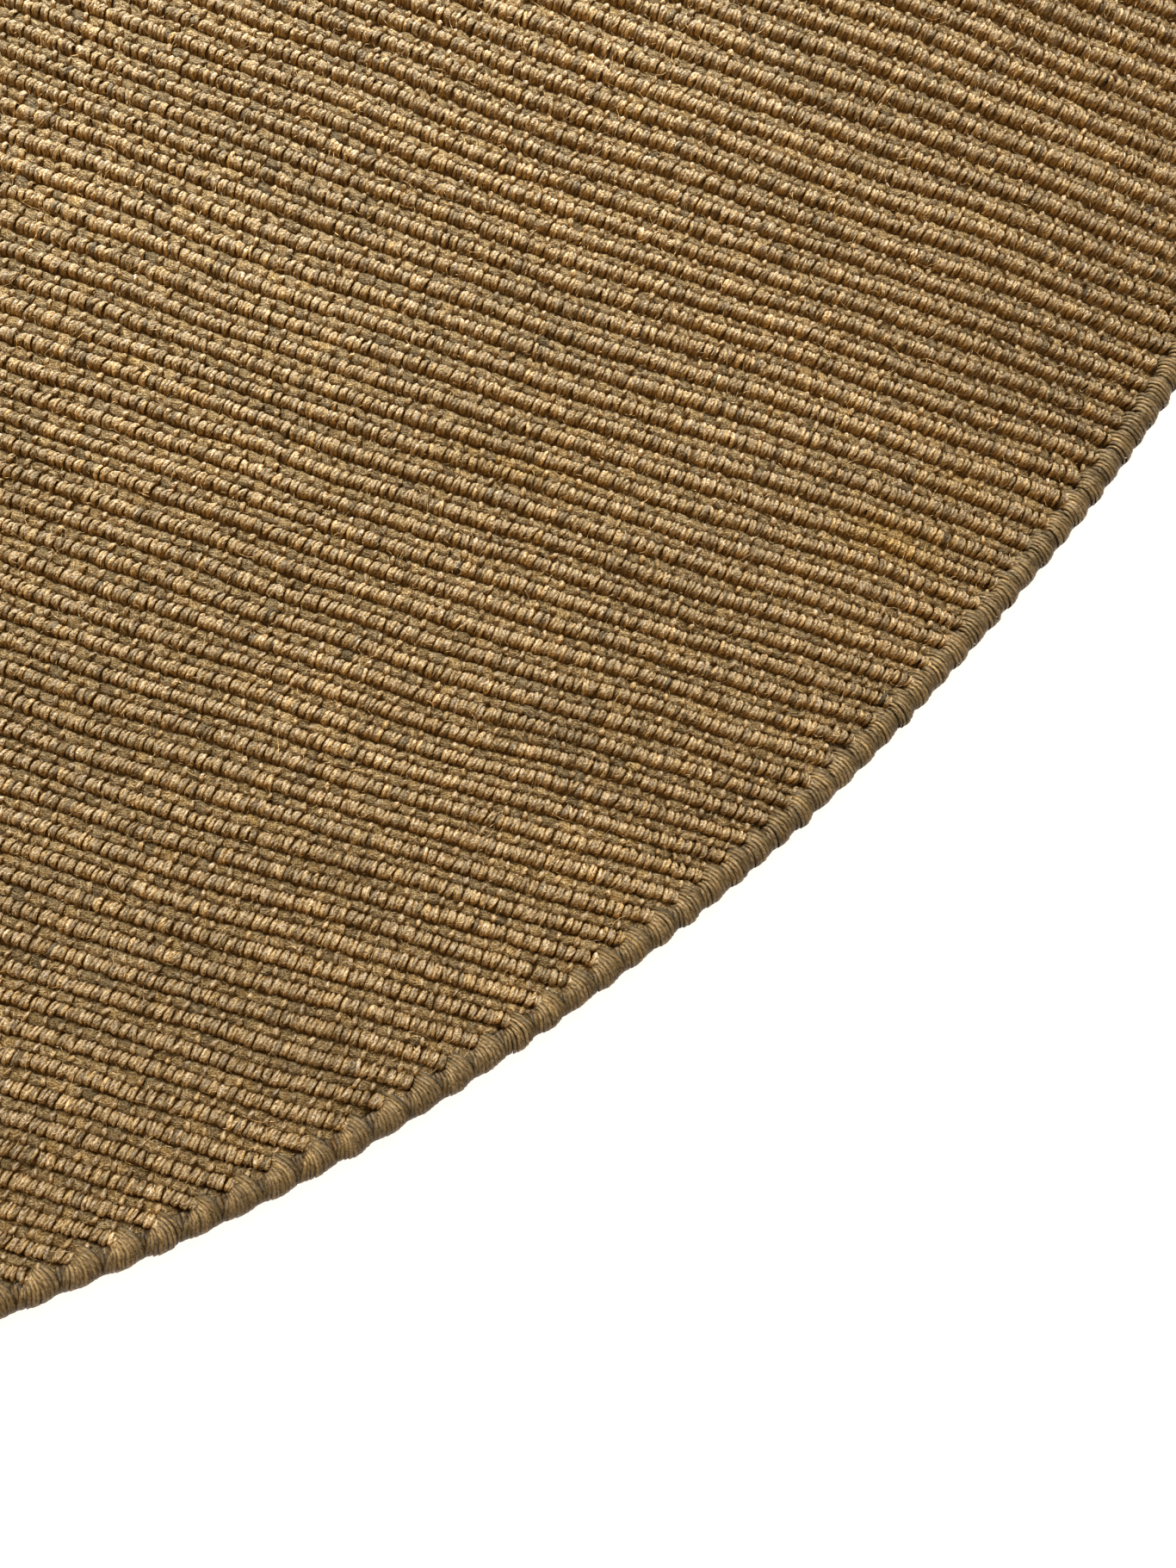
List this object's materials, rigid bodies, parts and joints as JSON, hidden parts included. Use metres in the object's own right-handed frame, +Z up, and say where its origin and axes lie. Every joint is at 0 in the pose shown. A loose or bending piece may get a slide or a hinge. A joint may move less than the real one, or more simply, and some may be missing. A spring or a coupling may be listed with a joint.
{
  "type": "round jute rug",
  "caption": "Round flat-woven rug of natural jute in a ribbed weave, with an overcast yarn edging; lies flat on a floor.",
  "frame": {"origin": "middle of the rug's underside, on the floor it lies on", "axes": "+Z up out of the rug's face, +X along the thick ribs of the weave, +Y along its warp"},
  "size_m": [1.5016, 1.5016, 0.008],
  "materials": {
    "jute_weave": "natural undyed jute, matt and slightly hairy, ribbed flat weave",
    "jute_edging": "natural undyed jute yarn wound wrap against wrap, matt"
  },
  "bodies": {
    "root": {"woven_field": "jute_weave", "overcast_edging": "jute_edging"}
  },
  "joints": []
}
